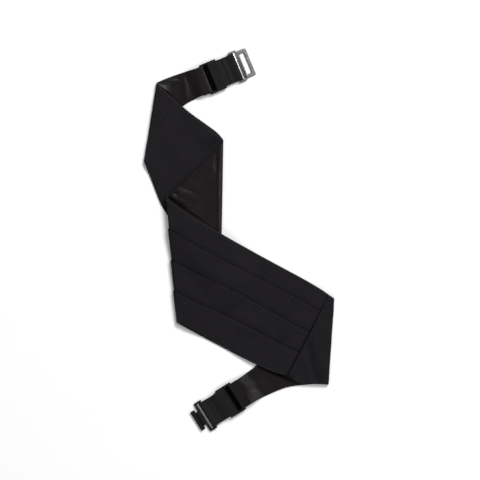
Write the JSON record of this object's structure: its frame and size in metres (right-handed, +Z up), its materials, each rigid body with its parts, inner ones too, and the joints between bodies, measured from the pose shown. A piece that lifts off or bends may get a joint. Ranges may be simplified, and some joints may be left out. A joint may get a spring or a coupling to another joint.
{
  "type": "cummerbund",
  "caption": "Pleated satin-lined cummerbund folded under itself, with elastic straps, slides and a hook-and-eye clasp.",
  "frame": {"origin": "on the surface it lies on, under the middle of the folded cummerbund's bounding box", "axes": "+Z up from the surface, +Y towards the eye's end as in the picture, +X to the picture's right"},
  "size_m": [0.2386, 0.4796, 0.0121],
  "materials": {
    "shell_cloth": "matte fine ribbed black cloth",
    "lining_satin": "brownish-black satin with a soft sheen",
    "elastic": "slightly ribbed black elastic",
    "black_metal": "semi-gloss black enamel",
    "bright_metal": "bright nickel plating"
  },
  "bodies": {
    "band": {"pleated_panel": "shell_cloth", "wing_shell_left": "shell_cloth", "wing_shell_right": "shell_cloth", "lining": "lining_satin", "slide_upper": "black_metal", "strap_upper": "elastic", "slide_lower": "black_metal", "strap_lower": "elastic"},
    "eye": {"clasp_eye": "bright_metal"},
    "hook": {"clasp_hook": "black_metal"}
  },
  "joints": [
    {"name": "eye_swing", "type": "hinge", "parent": "band", "child": "eye", "pos_m": [-0.00466, 0.2152, 0.0028], "axis": [0.3852, -0.9228, 0], "range_deg": [-100, 115]},
    {"name": "hook_swing", "type": "hinge", "parent": "band", "child": "hook", "pos_m": [-0.03968, -0.21921, 0.0028], "axis": [-0.5311, 0.8473, 0], "range_deg": [-100, 115]}
  ]
}
